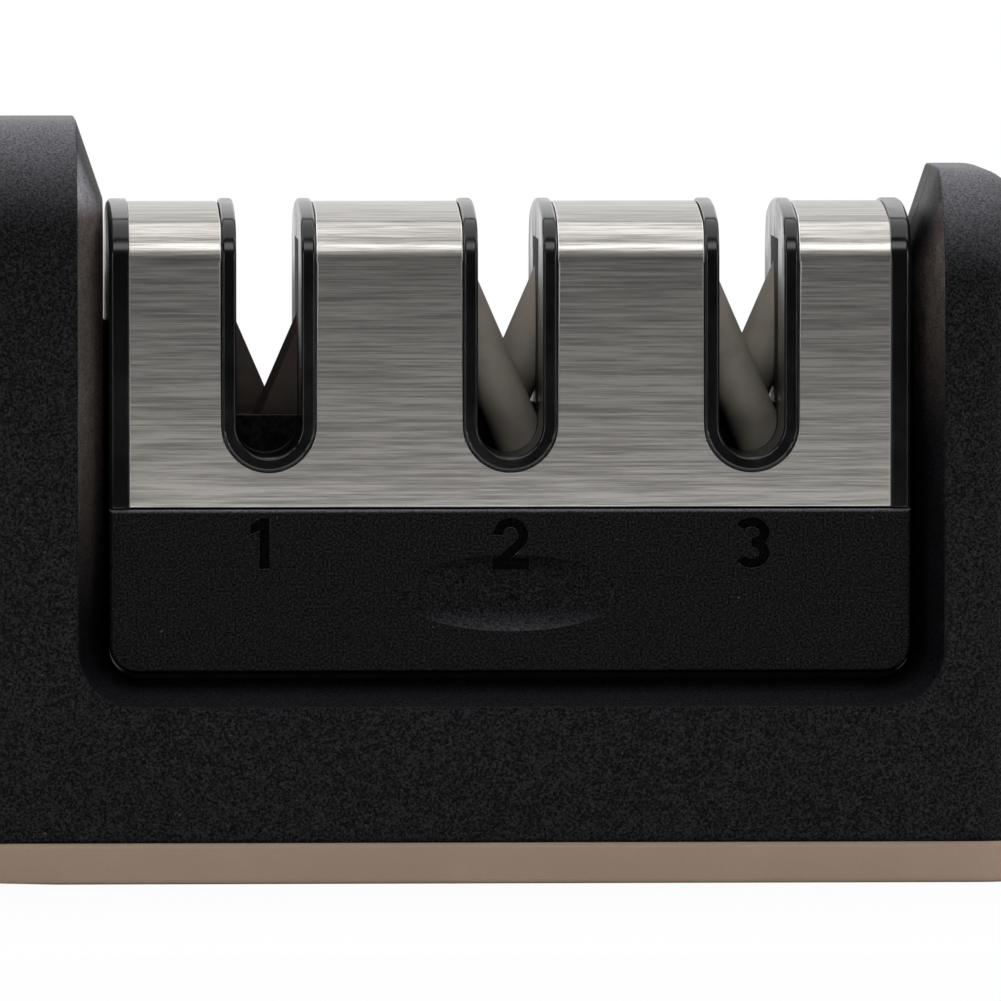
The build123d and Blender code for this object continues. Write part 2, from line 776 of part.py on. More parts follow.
with BuildPart() as front_panel:
    add(lower_panel())
    with BuildSketch(Plane.XZ.offset(rim_half)):
        draw_digit_one(slot_places[0])
        draw_digit_two(slot_places[1])
        draw_digit_three(slot_places[2])
    extrude(amount=-digit_depth, mode=Mode.SUBTRACT)
    with Locations((cartridge_middle, oval_depth - rim_half - oval_radius_x, oval_middle)):
        Torus(oval_radius_x - oval_radius_z, oval_radius_z, mode=Mode.SUBTRACT)
front_panel.part.label = "front_panel"
export_step(front_panel.part, "parts/front_panel.step")

with BuildPart() as rear_panel:
    mirror(lower_panel(), about=Plane.XZ, mode=Mode.ADD)
rear_panel.part.label = "rear_panel"
export_step(rear_panel.part, "parts/rear_panel.step")

blade_slots = [blade_bar(slot_places[0], side, blade_clearance, holder_width) for side in (1, -1)]
with BuildPart() as stage1_holder:
    add(holder(slot_places[0], blade_seat_depth, blade_seat_rise, blade_slots))
stage1_holder.part.label = "stage1_holder"
export_step(stage1_holder.part, "parts/stage1_holder.step")

for place, side in (("front", 1), ("rear", -1)):
    with BuildPart() as blade:
        add(blade_bar(slot_places[0], side, 0, 0))
    blade.part.label = f"stage1_blade_{place}"
    export_step(blade.part, f"parts/stage1_blade_{place}.step")

for stage, slot_x, notch in ((2, slot_places[1], notch_height_stage2),
                             (3, slot_places[2], notch_height_stage3)):
    bores = [rod_bar(slot_x, notch, side, rod_clearance, holder_width) for side in (1, -1)]
    with BuildPart() as rod_holder:
        add(holder(slot_x, web_thickness, web_rise, bores))
    rod_holder.part.label = f"stage{stage}_holder"
    export_step(rod_holder.part, f"parts/stage{stage}_holder.step")
    for place, side in (("front", 1), ("rear", -1)):
        with BuildPart() as rod:
            add(rod_bar(slot_x, notch, side, 0, 0))
            fillet(rod.edges().filter_by(GeomType.CIRCLE), rod_end_radius)
        rod.part.label = f"stage{stage}_rod_{place}"
        export_step(rod.part, f"parts/stage{stage}_rod_{place}.step")
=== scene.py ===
import json
from math import cos, radians, sin

import bpy
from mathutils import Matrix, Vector

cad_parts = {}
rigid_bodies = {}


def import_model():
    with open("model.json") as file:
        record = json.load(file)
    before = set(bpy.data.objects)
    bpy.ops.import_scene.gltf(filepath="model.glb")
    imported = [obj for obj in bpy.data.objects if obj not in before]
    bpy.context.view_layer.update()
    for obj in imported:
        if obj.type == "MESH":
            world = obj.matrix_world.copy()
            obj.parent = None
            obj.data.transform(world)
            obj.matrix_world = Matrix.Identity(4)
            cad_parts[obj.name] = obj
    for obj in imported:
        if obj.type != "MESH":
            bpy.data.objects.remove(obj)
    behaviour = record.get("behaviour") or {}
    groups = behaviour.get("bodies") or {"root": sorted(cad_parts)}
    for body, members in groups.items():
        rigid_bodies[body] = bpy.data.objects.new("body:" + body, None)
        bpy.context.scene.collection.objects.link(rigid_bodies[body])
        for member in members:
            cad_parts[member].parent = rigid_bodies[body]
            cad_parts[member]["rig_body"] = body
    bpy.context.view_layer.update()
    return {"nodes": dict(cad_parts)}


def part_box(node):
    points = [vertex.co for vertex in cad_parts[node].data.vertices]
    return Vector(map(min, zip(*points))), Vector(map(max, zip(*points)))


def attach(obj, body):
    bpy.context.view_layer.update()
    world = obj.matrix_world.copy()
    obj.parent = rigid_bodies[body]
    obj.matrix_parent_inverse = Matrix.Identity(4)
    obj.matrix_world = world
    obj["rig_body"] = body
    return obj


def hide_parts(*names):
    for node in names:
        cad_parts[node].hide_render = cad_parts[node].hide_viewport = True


# Three-stage knife sharpener: a black plastic body with a loop grip and an end block, a rubber
# base, and a steel-clad cartridge whose three slots hold crossed blades and ceramic rods.

bl_info = {
    "name": "Three-stage knife sharpener",
    "version": (1, 0, 0),
    "blender": (4, 5, 0),
    "location": "3D View > Sidebar > Sharpener",
    "description": "Dresses the knife sharpener's CAD frame and sets its studio",
    "category": "Add Mesh",
}

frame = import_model()

MM = 0.001
SHARP_ANGLE = radians(30)
FACET_ANGLE = radians(16)
FLAT_ANGLE = radians(0.4)
MERGE_DISTANCE = 0.002 * MM
HONING_ANGLE = radians(23.5)

# Middle of the saddle along the body, and how far its facets lie from it at most
SADDLE_MIDDLE = 48 * MM
SADDLE_REACH = 46 * MM

# Painted light on the facets, in a cloudy warm grey: the heights between which it grows, how
# much its lower edge falls from right to left, and the heights between which it turns pale, a
# painted highlight at the crest
FACET_LIGHT_FROM = 24 * MM
FACET_LIGHT_FULL = 50 * MM
FACET_LIGHT_LEAN = -0.2
CREST_FROM = 66.5 * MM
CREST_FULL = 70 * MM

# Fine dust and painted sheen on what faces up: the heights between which it changes from its
# share low down to its full share, the upward lean from which a face holds it, its share on a
# level face, and how fast it fades on steeper ones
HAZE_SHEEN_FROM = 30 * MM
HAZE_SHEEN_FULL = 60 * MM
HAZE_SHEEN_LEAN = 0.12
HAZE_SHEEN_SHARE = 0.84
HAZE_SHEEN_FADE = 1.9

# Heights below which the foot of the polished trim, hidden in the saddle, gets painted shade:
# no shine below the first, full shine above the second
FOOT_TOP = 21 * MM
FOOT_CLEAR = 22 * MM

# Height over which the steel cover is bent, and faces up without being cut
COVER_BEND = 60 * MM

# Cut numerals of the front panel: how far off the middle plane their walls begin, the height of
# their middle, half their reach up and down, their width, pitch and the left end of the first
# one's field, and how much darker they are
NUMERAL_FLOOR = 17.48 * MM
NUMERAL_MIDDLE = 33.9 * MM
NUMERAL_REACH = 2.65 * MM
NUMERAL_WIDTH = 3.7 * MM
NUMERAL_PITCH = 24.205 * MM
NUMERAL_LEFT = 12.08 * MM
NUMERAL_SHADE = 0.8

# Oval dish in the front panel, as the CAD frame has it: its size, how far its middle lies below
# the panel's top edge, how near to its curve its own faces lie, and how far behind the panel's
# front a point of it lies at least that is laid on the curve
DISH_WIDTH = 22.4 * MM
DISH_HEIGHT = 7.8 * MM
DISH_DEPTH = 0.8 * MM
DISH_DROP = 8.4 * MM
DISH_NEAR = 0.06 * MM
DISH_RIM = 0.02 * MM

ROD_SIDES = 72

# CAD nodes by the kind of piece that they are
SHELLS = ("front_shell", "rear_shell")
END_CAPS = ("left_end_cap", "right_end_cap")
CORES = ("core_front", "core_rear")
PANELS = ("front_panel", "rear_panel")
HOLDERS = ("stage1_holder", "stage2_holder", "stage3_holder")
BLADES = ("stage1_blade_front", "stage1_blade_rear")
RODS = ("stage2_rod_front", "stage2_rod_rear", "stage3_rod_front", "stage3_rod_rear")
SCREWS = ("shell_screws", "base_screws", "cartridge_screws")


def linear(code):
    """Turns an sRGB hex colour into linear red, green and blue."""
    channels = [int(code[i:i + 2], 16) / 255 for i in (1, 3, 5)]
    return tuple(c / 12.92 if c <= 0.04045 else ((c + 0.055) / 1.055) ** 2.4
                 for c in channels)


def colour_property(name, description, code):
    """A colour that a user can change, from its hex code."""
    return bpy.props.FloatVectorProperty(name=name, description=description, subtype="COLOR",
                                         size=3, min=0, max=1, default=linear(code))


def length_property(name, description, millimetres):
    """A length that a user can change, from its millimetres."""
    return bpy.props.FloatProperty(name=name, description=description, subtype="DISTANCE",
                                   unit="LENGTH", min=0, default=millimetres * MM)


class SharpenerSizes(bpy.types.PropertyGroup):
    """Sizes that the CAD frame leaves to the dressed pieces."""
    shell_edge: length_property("Shell edge", "Easing of the body's moulded edges", 0.16)
    panel_edge: length_property("Panel edge", "Easing of the panels' edges", 0.08)
    rim_edge: length_property("Rim edge", "Easing of the slot rims and end rims", 0.12)
    steel_edge: length_property("Steel edge", "Burr that the cutting die leaves", 0.18)
    small_edge: length_property("Small edge", "Easing of blades, holders and screws", 0.06)
    rod_end: length_property("Rod end", "Rounding of the ceramic rods' ends", 0.3)
    rod_radius: length_property("Rod radius", "Radius of the ceramic rods", 2.5)


class SharpenerColours(bpy.types.PropertyGroup):
    """Colours of the finishes."""
    body: colour_property("Body", "Black ABS of the two shells", "#0a090c")
    panel: colour_property("Panels", "Black ABS of the cartridge's panels", "#080709")
    trim: colour_property("Trim", "Polished black ABS of the slot rims", "#0b0b0c")
    inside: colour_property("Inside", "Black ABS of the base plate and the holders", "#1b1a1b")
    steel: colour_property("Steel", "Brushed stainless steel", "#c6c2bd")
    burr: colour_property("Burr", "Bright cut edge of the steel", "#fdfcf9")
    carbide: colour_property("Carbide", "Ground tungsten carbide", "#564b46")
    ceramic: colour_property("Ceramic", "Fired alumina", "#bdb5a8")
    rubber: colour_property("Rubber", "Taupe thermoplastic rubber", "#978373")
    zinc: colour_property("Zinc", "Zinc plating of the screws", "#b9b6ae")
    # Film is painted light on the saddle's facets, in a cloudy warm grey
    facet_light: colour_property("Film", "Painted light on the saddle's facets", "#665d57")
    # Haze is fine dust, with painted sheen, on what faces up
    haze_and_sheen: colour_property("Haze", "Fine dust and painted sheen on what faces up", "#8c8b93")
    dust: colour_property("Dust", "Crumbs of dust on the plastic", "#76695b")


def node(tree, kind, inputs=(), **settings):
    """Adds a node, sets its properties, and fills its sockets with values or links."""
    made = tree.nodes.new(kind)
    for name, value in settings.items():
        setattr(made, name, value)
    for name, value in dict(inputs).items():
        if isinstance(value, bpy.types.NodeSocket):
            tree.links.new(value, made.inputs[name])
        else:
            made.inputs[name].default_value = value
    return made


def start_material(name, **values):
    """A material with a Principled shader whose constant sockets are set, and its tree."""
    material = bpy.data.materials.new(name)
    material.use_nodes = True
    tree = material.node_tree
    tree.nodes.clear()
    shader = node(tree, "ShaderNodeBsdfPrincipled")
    for socket, value in values.items():
        shader.inputs[socket.replace("_", " ")].default_value = value
    node(tree, "ShaderNodeOutputMaterial", {"Surface": shader.outputs["BSDF"]})
    place = node(tree, "ShaderNodeTexCoord").outputs["Object"]
    return material, tree, shader, place


def scaled(colour, factor):
    """A colour made lighter or darker, as the RGBA that a node socket takes."""
    return (*[min(1.0, c * factor) for c in colour], 1.0)


def painted_facet_light(tree, place):
    """Where light is painted on the saddle's facets in a warm grey, from 0 to 1.

    It lies on the slanting faces at both ends of the saddle, stronger higher up, in clouds about
    1.5 mm wide."""
    facing = node(tree, "ShaderNodeNewGeometry").outputs["Normal"]
    facing = node(tree, "ShaderNodeVectorMath", {0: facing}, operation="ABSOLUTE")
    facing = node(tree, "ShaderNodeSeparateXYZ", {0: facing.outputs["Vector"]})
    aslant = node(tree, "ShaderNodeMapRange",
                  {0: facing.outputs["Y"], 1: 0.2, 2: 0.3, 3: 0.0, 4: 1.0})
    sideways = node(tree, "ShaderNodeMapRange",
                    {0: facing.outputs["X"], 1: 0.88, 2: 0.94, 3: 0.0, 4: 1.0})
    parts = node(tree, "ShaderNodeSeparateXYZ", {0: place})
    saddle = node(tree, "ShaderNodeMath",
                  {0: parts.outputs["X"], 1: SADDLE_MIDDLE, 2: SADDLE_REACH},
                  operation="COMPARE")
    height = node(tree, "ShaderNodeMath",
                  {0: parts.outputs["X"], 1: FACET_LIGHT_LEAN, 2: parts.outputs["Z"]},
                  operation="MULTIPLY_ADD")
    above = node(tree, "ShaderNodeMapRange",
                 {0: height.outputs["Value"], 1: FACET_LIGHT_FROM, 2: FACET_LIGHT_FULL, 3: 0.0, 4: 1.0},
                 interpolation_type="SMOOTHSTEP")
    clouds = node(tree, "ShaderNodeTexNoise",
                  {"Vector": place, "Scale": 1 / (1.5 * MM), "Detail": 5.0, "Roughness": 0.7})
    cloudy = node(tree, "ShaderNodeMapRange",
                  {0: clouds.outputs["Fac"], 1: 0.3, 2: 0.65, 3: 0.35, 4: 0.9})
    facet_light = cloudy.outputs["Result"]
    for mask in (aslant, sideways, above, saddle):
        facet_light = node(tree, "ShaderNodeMath", {0: facet_light, 1: mask.outputs[0]},
                    operation="MULTIPLY").outputs["Value"]
    return facet_light


def in_shade(tree, place):
    """Where a panel lies in shade, from 0 to 1: in its cut numerals and under its edges."""
    parts = node(tree, "ShaderNodeSeparateXYZ", {0: place})
    depth = node(tree, "ShaderNodeMath", {0: parts.outputs["Y"]}, operation="ABSOLUTE")
    cut = node(tree, "ShaderNodeMath", {0: depth.outputs["Value"], 1: NUMERAL_FLOOR},
               operation="LESS_THAN")
    row = node(tree, "ShaderNodeMath",
               {0: parts.outputs["Z"], 1: NUMERAL_MIDDLE, 2: NUMERAL_REACH},
               operation="COMPARE")
    along = node(tree, "ShaderNodeMath",
                 {0: parts.outputs["X"], 1: NUMERAL_LEFT, 2: NUMERAL_LEFT + NUMERAL_PITCH},
                 operation="WRAP")
    column = node(tree, "ShaderNodeMath",
                  {0: along.outputs["Value"], 1: NUMERAL_LEFT + NUMERAL_PITCH / 2,
                   2: NUMERAL_WIDTH / 2}, operation="COMPARE")
    numeral = node(tree, "ShaderNodeMath",
                   {0: cut.outputs["Value"], 1: row.outputs["Value"]}, operation="MULTIPLY")
    numeral = node(tree, "ShaderNodeMath",
                   {0: numeral.outputs["Value"], 1: column.outputs["Value"]},
                   operation="MULTIPLY")
    numeral = node(tree, "ShaderNodeMath", {0: numeral.outputs["Value"], 1: NUMERAL_SHADE},
                   operation="MULTIPLY")
    facing = node(tree, "ShaderNodeNewGeometry").outputs["Normal"]
    facing = node(tree, "ShaderNodeSeparateXYZ", {0: facing})
    under = node(tree, "ShaderNodeMapRange",
                 {0: facing.outputs["Z"], 1: -0.2, 2: -0.6, 3: 0.0, 4: 1.0})
    return node(tree, "ShaderNodeMath",
                {0: numeral.outputs["Value"], 1: under.outputs["Result"]},
                operation="MAXIMUM").outputs["Value"]


def pale_specks(tree, place):
    """Where crumbs of dust lie, from 0 to 0.5: one in about 1.7 mm, and most of them faint."""
    specks = node(tree, "ShaderNodeTexVoronoi", {"Vector": place, "Scale": 1 / (1.7 * MM)})
    pale = node(tree, "ShaderNodeSeparateXYZ", {0: specks.outputs["Color"]})
    pale = node(tree, "ShaderNodeMapRange",
                {0: pale.outputs["X"], 1: 0.6, 2: 1.0, 3: 0.0, 4: 0.5})
    near = node(tree, "ShaderNodeMapRange",
                {0: specks.outputs["Distance"], 1: 0.03, 2: 0.08,
                 3: pale.outputs["Result"], 4: 0.0})
    return near.outputs["Result"]


def haze_and_painted_sheen(tree, place, held, low):
    """How much fine dust and painted sheen lie on a face: more where the face is level and its
    pits hold it.

    Low is its share low down, next to its share high up."""
    facing = node(tree, "ShaderNodeNewGeometry").outputs["Normal"]
    facing = node(tree, "ShaderNodeSeparateXYZ", {0: facing})
    upward = node(tree, "ShaderNodeMapRange",
                  {0: facing.outputs["Z"], 1: HAZE_SHEEN_LEAN, 2: 1.0, 3: 0.0, 4: HAZE_SHEEN_SHARE})
    upward = node(tree, "ShaderNodeMath",
                  {0: upward.outputs["Result"], 1: HAZE_SHEEN_FADE}, operation="POWER")
    height = node(tree, "ShaderNodeSeparateXYZ", {0: place}).outputs["Z"]
    exposed = node(tree, "ShaderNodeMapRange",
                   {0: height, 1: HAZE_SHEEN_FROM, 2: HAZE_SHEEN_FULL, 3: low, 4: 1.0})
    settled = node(tree, "ShaderNodeMath",
                   {0: upward.outputs["Value"], 1: exposed.outputs["Result"]},
                   operation="MULTIPLY")
    settled = node(tree, "ShaderNodeMath", {0: settled.outputs["Value"], 1: held},
                   operation="MULTIPLY")
    return settled.outputs["Value"]


def eroded_abs(name, colour, grain, roughness, relief, shine, grain_glint_lift, low_haze_and_sheen,
               rolled=0, facet_light_painted=False, shaded=False):
    """Black ABS moulded against spark-eroded steel.

    To the eye it is a satin skin of fine rounded pits that glint, a little uneven in gloss,
    which holds some pale dust. The real pits are about 0.1 mm wide. They are drawn as wide as
    grain says, which is at least twice as much, so as to show.

    Relief is their depth, and shine how much they glint. The lift after shine is how much lighter
    than the colour the crests of the pits are drawn, partly grain and partly painted glints. The
    low share after it is that of settled dust and painted sheen low down, and rolled the radius
    to which edges look rounded. The body gets painted light on its facets, and the panels get
    painted shade."""
    colours = bpy.context.scene.sharpener_colours
    material, tree, shader, place = start_material(name, IOR=1.5)
    pits = node(tree, "ShaderNodeTexNoise",
                {"Vector": place, "Scale": 1 / grain, "Detail": 3.0, "Roughness": 0.65})
    clouds = node(tree, "ShaderNodeTexNoise",
                  {"Vector": place, "Scale": 1 / (16 * MM), "Detail": 4.0, "Roughness": 0.6})
    # The crests of the pits are drawn lighter: partly grain, partly painted glints
    grain_and_glints = node(tree, "ShaderNodeMapRange",
                {0: pits.outputs["Fac"], 1: 0.47, 2: 0.8, 3: 0.0, 4: 1.0})
    skin = node(tree, "ShaderNodeMix",
                {0: grain_and_glints.outputs["Result"], 6: scaled(colour, 0.6), 7: scaled(colour, grain_glint_lift)},
                data_type="RGBA")
    skin = node(tree, "ShaderNodeMix",
                {0: pale_specks(tree, place), 6: skin.outputs[2], 7: scaled(colours.dust, 1.0)},
                data_type="RGBA")
    held = node(tree, "ShaderNodeMapRange",
                {0: pits.outputs["Fac"], 1: 0.35, 2: 0.65, 3: 0.5, 4: 1.3}).outputs["Result"]
    # Settled dust and painted sheen on what faces up, more higher up
    skin = node(tree, "ShaderNodeMix",
                {0: haze_and_painted_sheen(tree, place, held, low_haze_and_sheen), 6: skin.outputs[2],
                 7: scaled(colours.haze_and_sheen, 1.0)}, data_type="RGBA")
    # Painted light on the facets, paler at the crest as a painted highlight
    if facet_light_painted:
        cover = node(tree, "ShaderNodeMath", {0: painted_facet_light(tree, place), 1: held},
                     operation="MULTIPLY")
        height = node(tree, "ShaderNodeSeparateXYZ", {0: place}).outputs["Z"]
        crest = node(tree, "ShaderNodeMapRange",
                     {0: height, 1: CREST_FROM, 2: CREST_FULL, 3: 0.0, 4: 1.0})
        facet_light = node(tree, "ShaderNodeMix",
                    {0: crest.outputs["Result"], 6: scaled(colours.facet_light, 1.0),
                     7: scaled(colours.haze_and_sheen, 2.4)}, data_type="RGBA")
        skin = node(tree, "ShaderNodeMix",
                    {0: cover.outputs["Value"], 6: skin.outputs[2], 7: facet_light.outputs[2]},
                    data_type="RGBA")
    glint = node(tree, "ShaderNodeMapRange",
                 {0: pits.outputs["Fac"], 1: 0.38, 2: 0.66, 3: 0.3 * shine, 4: 2.0 * shine})
    glint = glint.outputs["Result"]
    if shaded:
        shade = in_shade(tree, place)
        skin = node(tree, "ShaderNodeMix",
                    {0: shade, 6: skin.outputs[2], 7: scaled(colour, 0.2)}, data_type="RGBA")
        glint = node(tree, "ShaderNodeMix", {0: shade, 2: glint, 3: 0.0}).outputs[0]
    gloss = node(tree, "ShaderNodeMapRange",
                 {0: clouds.outputs["Fac"], 1: 0.3, 2: 0.7,
                  3: roughness - 0.04, 4: roughness + 0.06})
    bump = node(tree, "ShaderNodeBump",
                {"Strength": relief, "Distance": 0.1 * MM, "Height": pits.outputs["Fac"]})
    if rolled:
        soft = node(tree, "ShaderNodeBevel", {"Radius": rolled}, samples=6)
        tree.links.new(soft.outputs["Normal"], bump.inputs["Normal"])
    tree.links.new(skin.outputs[2], shader.inputs["Base Color"])
    tree.links.new(glint, shader.inputs["Specular IOR Level"])
    tree.links.new(gloss.outputs["Result"], shader.inputs["Roughness"])
    tree.links.new(bump.outputs["Normal"], shader.inputs["Normal"])
    return material


def polished_abs(name, colour):
    """Black ABS moulded against polished steel.

    It is glossy and deep black, with a faint orange-peel waviness about 2 mm wide, and duller
    where fingers and knives have smeared it. Its foot, low in the saddle, gets painted shade and
    doesn't shine."""
    material, tree, shader, place = start_material(name, IOR=1.5)
    wave = node(tree, "ShaderNodeTexNoise",
                {"Vector": place, "Scale": 1 / (2.2 * MM), "Detail": 2.0})
    smear = node(tree, "ShaderNodeTexNoise",
                 {"Vector": place, "Scale": 1 / (5 * MM), "Detail": 5.0, "Roughness": 0.7})
    gloss = node(tree, "ShaderNodeMapRange",
                 {0: smear.outputs["Fac"], 1: 0.35, 2: 0.7, 3: 0.12, 4: 0.26})
    tint = node(tree, "ShaderNodeMix",
                {0: smear.outputs["Fac"], 6: scaled(colour, 0.7), 7: scaled(colour, 1.6)},
                data_type="RGBA")
    bump = node(tree, "ShaderNodeBump",
                {"Strength": 0.12, "Distance": 0.05 * MM, "Height": wave.outputs["Fac"]})
    # Painted shade: the foot of the trim, low in the saddle, is given no shine
    height = node(tree, "ShaderNodeSeparateXYZ", {0: place}).outputs["Z"]
    shine = node(tree, "ShaderNodeMapRange",
                 {0: height, 1: FOOT_TOP, 2: FOOT_CLEAR, 3: 0.0, 4: 0.5})
    tree.links.new(shine.outputs["Result"], shader.inputs["Specular IOR Level"])
    tree.links.new(tint.outputs[2], shader.inputs["Base Color"])
    tree.links.new(gloss.outputs["Result"], shader.inputs["Roughness"])
    tree.links.new(bump.outputs["Normal"], shader.inputs["Normal"])
    return material


def brushed_steel(name, colour):
    """Stainless sheet brushed along its length.

    Fine streaks run from slot to slot, and spread what the metal mirrors up and down, so it
    shades from light to dark over its height. Its cut edges are bright and not brushed. Real
    streaks are 0.02 to 0.05 mm wide. They are drawn 0.2 mm wide and 8 mm long so as to show."""
    material, tree, shader, place = start_material(name, Metallic=1.0)
    along = node(tree, "ShaderNodeMapping",
                 {"Vector": place, "Scale": (1 / (8 * MM), 1 / (0.2 * MM), 1 / (0.2 * MM))})
    streaks = node(tree, "ShaderNodeTexNoise",
                   {"Vector": along.outputs["Vector"], "Scale": 1.0, "Detail": 4.0,
                    "Roughness": 0.65})
    passes = node(tree, "ShaderNodeMapping",
                  {"Vector": place, "Scale": (1 / (25 * MM), 1 / (0.7 * MM), 1 / (0.7 * MM))})
    bands = node(tree, "ShaderNodeTexNoise",
                 {"Vector": passes.outputs["Vector"], "Scale": 1.0, "Detail": 2.0})
    both = node(tree, "ShaderNodeMix",
                {0: 0.25, 2: streaks.outputs["Fac"], 3: bands.outputs["Fac"]})
    contrast = node(tree, "ShaderNodeMapRange",
                    {0: both.outputs[0], 1: 0.4, 2: 0.6, 3: 0.0, 4: 1.0})
    tint = node(tree, "ShaderNodeMix",
                {0: contrast.outputs["Result"], 6: scaled(colour, 0.62), 7: scaled(colour, 1.25)},
                data_type="RGBA")
    gloss = node(tree, "ShaderNodeMapRange",
                 {0: both.outputs[0], 1: 0.3, 2: 0.7, 3: 0.3, 4: 0.28})
    facing = node(tree, "ShaderNodeNewGeometry").outputs["Normal"]
    facing = node(tree, "ShaderNodeSeparateXYZ", {0: facing})
    aside = node(tree, "ShaderNodeMath", {0: facing.outputs["X"]}, operation="ABSOLUTE")
    height = node(tree, "ShaderNodeSeparateXYZ", {0: place}).outputs["Z"]
    low = node(tree, "ShaderNodeMath", {0: height, 1: COVER_BEND}, operation="LESS_THAN")
    upward = node(tree, "ShaderNodeMath",
                  {0: facing.outputs["Z"], 1: low.outputs["Value"]}, operation="MULTIPLY")
    turned = node(tree, "ShaderNodeMath",
                  {0: aside.outputs["Value"], 1: upward.outputs["Value"]}, operation="MAXIMUM")
    cut = node(tree, "ShaderNodeMapRange",
               {0: turned.outputs["Value"], 1: 0.08, 2: 0.2, 3: 0.0, 4: 1.0})
    burr = bpy.context.scene.sharpener_colours.burr
    tint = node(tree, "ShaderNodeMix",
                {0: cut.outputs["Result"], 6: tint.outputs[2], 7: scaled(burr, 1.0)},
                data_type="RGBA")
    gloss = node(tree, "ShaderNodeMapRange",
                 {0: cut.outputs["Result"], 3: gloss.outputs["Result"], 4: 0.42})
    spread = node(tree, "ShaderNodeMapRange", {0: cut.outputs["Result"], 3: 0.25, 4: 0.0})
    tree.links.new(spread.outputs["Result"], shader.inputs["Anisotropic"])
    bump = node(tree, "ShaderNodeBump",
                {"Strength": 0.3, "Distance": 0.02 * MM, "Height": streaks.outputs["Fac"]})
    grain = node(tree, "ShaderNodeTangent", direction_type="RADIAL", axis="X")
    tree.links.new(tint.outputs[2], shader.inputs["Base Color"])
    tree.links.new(gloss.outputs["Result"], shader.inputs["Roughness"])
    tree.links.new(bump.outputs["Normal"], shader.inputs["Normal"])
    tree.links.new(grain.outputs["Tangent"], shader.inputs["Tangent"])
    return material


def ground_carbide(name, colour):
    """Sintered tungsten carbide, ground flat with a diamond wheel.

    It is a dark, slightly brown grey with a dull metal gloss and fine parallel wheel marks,
    drawn 0.12 mm apart so as to show."""
    material, tree, shader, place = start_material(name, Metallic=0.4)
    marks = node(tree, "ShaderNodeMapping",
                 {"Vector": place, "Scale": (1 / (0.12 * MM), 1 / (4 * MM), 1 / (0.9 * MM))})
    lines = node(tree, "ShaderNodeTexNoise",
                 {"Vector": marks.outputs["Vector"], "Scale": 1.0, "Detail": 2.0})
    swarf = node(tree, "ShaderNodeTexNoise",
                 {"Vector": place, "Scale": 1 / (1.4 * MM), "Detail": 4.0})
    tint = node(tree, "ShaderNodeMix",
                {0: swarf.outputs["Fac"], 6: scaled(colour, 0.65), 7: scaled(colour, 1.3)},
                data_type="RGBA")
    gloss = node(tree, "ShaderNodeMapRange",
                 {0: lines.outputs["Fac"], 1: 0.3, 2: 0.7, 3: 0.32, 4: 0.5})
    bump = node(tree, "ShaderNodeBump",
                {"Strength": 0.25, "Distance": 0.01 * MM, "Height": lines.outputs["Fac"]})
    tree.links.new(tint.outputs[2], shader.inputs["Base Color"])
    tree.links.new(gloss.outputs["Result"], shader.inputs["Roughness"])
    tree.links.new(bump.outputs["Normal"], shader.inputs["Normal"])
    return material


def fired_ceramic(name, colour):
    """Alumina rods, fired and left unglazed.

    They are warm light grey and matt, with a faint grit, and greyed where steel has been
    drawn over them. The grit is about 0.03 mm, drawn 0.15 mm wide so as to show."""
    material, tree, shader, place = start_material(name, IOR=1.6)
    grit = node(tree, "ShaderNodeTexNoise",
                {"Vector": place, "Scale": 1 / (0.15 * MM), "Detail": 2.0})
    smear = node(tree, "ShaderNodeTexNoise",
                 {"Vector": place, "Scale": 1 / (3 * MM), "Detail": 4.0, "Roughness": 0.6})
    greyed = node(tree, "ShaderNodeMapRange",
                  {0: smear.outputs["Fac"], 1: 0.42, 2: 0.75, 3: 0.0, 4: 0.45})
    tint = node(tree, "ShaderNodeMix",
                {0: greyed.outputs["Result"], 6: scaled(colour, 1.0), 7: scaled(colour, 0.5)},
                data_type="RGBA")
    gloss = node(tree, "ShaderNodeMapRange",
                 {0: grit.outputs["Fac"], 1: 0.3, 2: 0.7, 3: 0.5, 4: 0.66})
    bump = node(tree, "ShaderNodeBump",
                {"Strength": 0.2, "Distance": 0.02 * MM, "Height": grit.outputs["Fac"]})
    tree.links.new(tint.outputs[2], shader.inputs["Base Color"])
    tree.links.new(gloss.outputs["Result"], shader.inputs["Roughness"])
    tree.links.new(bump.outputs["Normal"], shader.inputs["Normal"])
    return material


def moulded_rubber(name, colour):
    """Thermoplastic rubber, moulded with a matt skin.

    It is a flat taupe that hardly shines, with a fine skin 0.3 mm wide, and faintly mottled in
    patches about 9 mm wide where it is rubbed."""
    material, tree, shader, place = start_material(name, IOR=1.5, Specular_IOR_Level=0.35)
    skin = node(tree, "ShaderNodeTexNoise",
                {"Vector": place, "Scale": 1 / (0.3 * MM), "Detail": 3.0, "Roughness": 0.6})
    clouds = node(tree, "ShaderNodeTexNoise",
                  {"Vector": place, "Scale": 1 / (9 * MM), "Detail": 4.0, "Roughness": 0.65})
    both = node(tree, "ShaderNodeMix",
                {0: 0.6, 2: skin.outputs["Fac"], 3: clouds.outputs["Fac"]})
    tint = node(tree, "ShaderNodeMix",
                {0: both.outputs[0], 6: scaled(colour, 0.82), 7: scaled(colour, 1.2)},
                data_type="RGBA")
    gloss = node(tree, "ShaderNodeMapRange",
                 {0: clouds.outputs["Fac"], 1: 0.3, 2: 0.7, 3: 0.7, 4: 0.84})
    bump = node(tree, "ShaderNodeBump",
                {"Strength": 0.25, "Distance": 0.05 * MM, "Height": skin.outputs["Fac"]})
    tree.links.new(tint.outputs[2], shader.inputs["Base Color"])
    tree.links.new(gloss.outputs["Result"], shader.inputs["Roughness"])
    tree.links.new(bump.outputs["Normal"], shader.inputs["Normal"])
    return material


